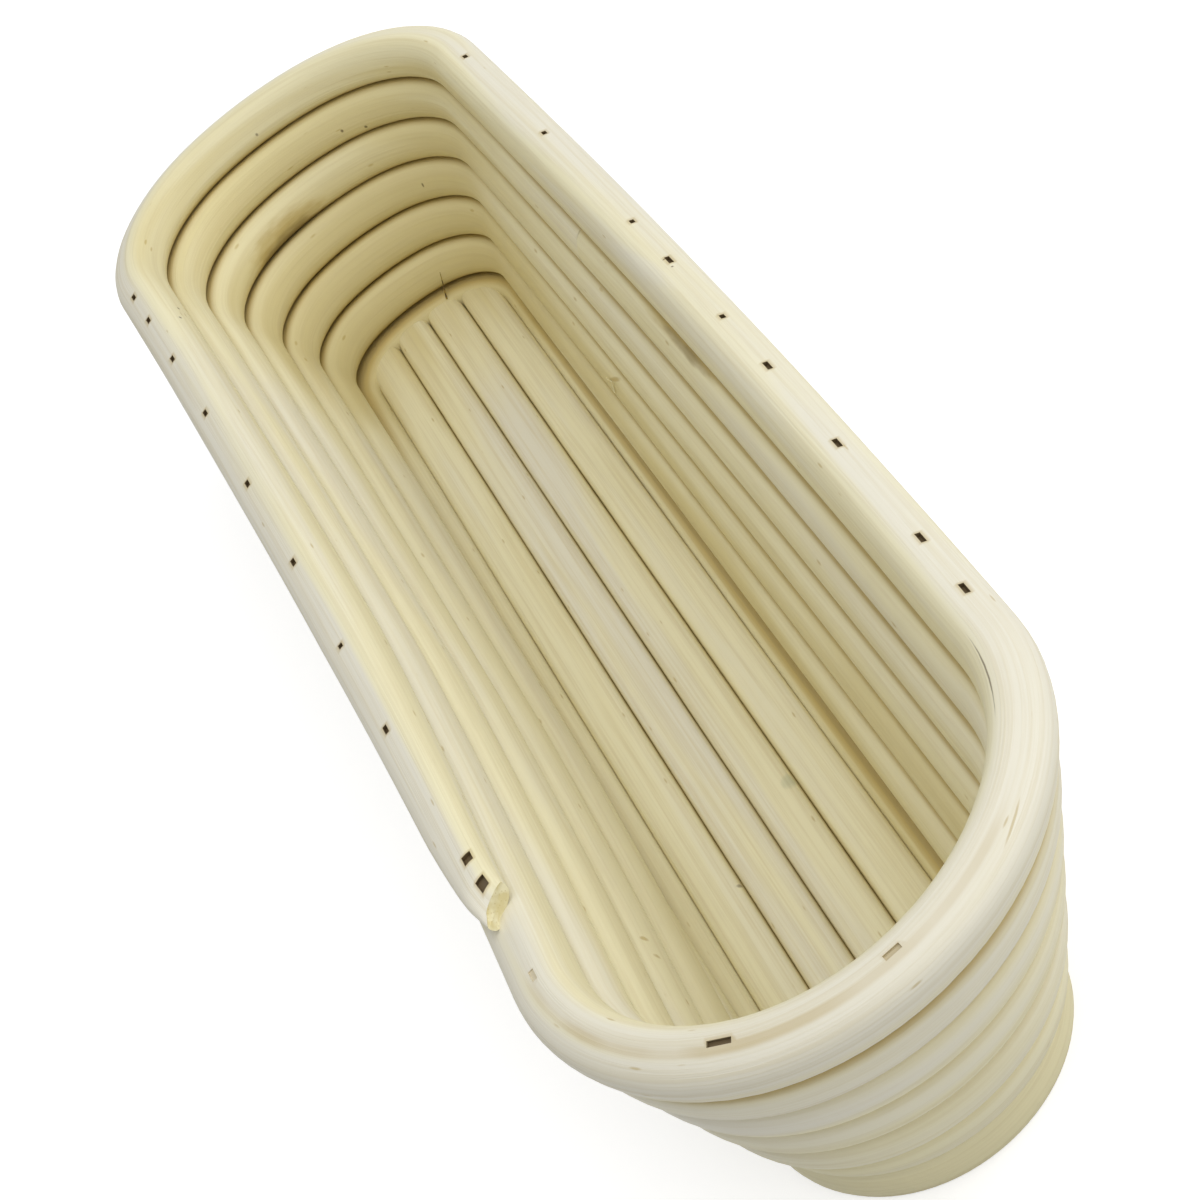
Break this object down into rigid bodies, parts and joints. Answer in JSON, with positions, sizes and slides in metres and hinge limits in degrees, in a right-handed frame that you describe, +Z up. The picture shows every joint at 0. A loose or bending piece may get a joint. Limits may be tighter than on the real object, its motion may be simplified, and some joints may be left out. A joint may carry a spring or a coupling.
{
  "type": "proofing basket",
  "caption": "Long narrow proofing basket wound from thick rattan cane, with flaring walls, rounded ends and a floor of straight cane slats, for shaping and proving a baguette.",
  "frame": {"origin": "on the table, under the middle of the basket's outline", "axes": "+X along the basket, towards the end where the winding climbs and ends; +Y across it; +Z up out of the mouth"},
  "size_m": [0.376, 0.1108, 0.074],
  "materials": {
    "cane": "bare peeled rattan cane, matt, with fine streaks along its length",
    "slat": "bare peeled rattan cane, matt, a little darker",
    "brad": "thin steel brads, dulled dark"
  },
  "bodies": {
    "root": {"floor_slat_1": "slat", "floor_slat_2": "slat", "floor_slat_3": "slat", "floor_slat_4": "slat", "floor_ring": "cane", "wall_cane_lower": "cane", "wall_cane_upper": "cane", "rim_brad_01": "brad", "rim_brad_02": "brad", "rim_brad_03": "brad", "rim_brad_04": "brad", "rim_brad_05": "brad", "rim_brad_06": "brad", "rim_brad_07": "brad", "rim_brad_08": "brad", "rim_brad_09": "brad", "rim_brad_10": "brad", "rim_brad_11": "brad", "rim_brad_12": "brad", "rim_brad_13": "brad", "rim_brad_14": "brad", "rim_brad_15": "brad", "rim_brad_16": "brad", "rim_brad_17": "brad", "rim_brad_18": "brad", "rim_brad_19": "brad", "rim_brad_20": "brad", "rim_brad_21": "brad", "rim_brad_22": "brad", "wall_brad_01": "brad", "wall_brad_02": "brad", "wall_brad_03": "brad", "wall_brad_04": "brad", "wall_brad_05": "brad", "wall_brad_06": "brad", "wall_brad_07": "brad", "wall_brad_08": "brad", "wall_brad_09": "brad", "wall_brad_10": "brad", "slat_brad_01": "brad", "slat_brad_02": "brad", "slat_brad_03": "brad", "slat_brad_04": "brad", "slat_brad_05": "brad", "slat_brad_06": "brad", "slat_brad_07": "brad", "slat_brad_08": "brad"}
  },
  "joints": []
}
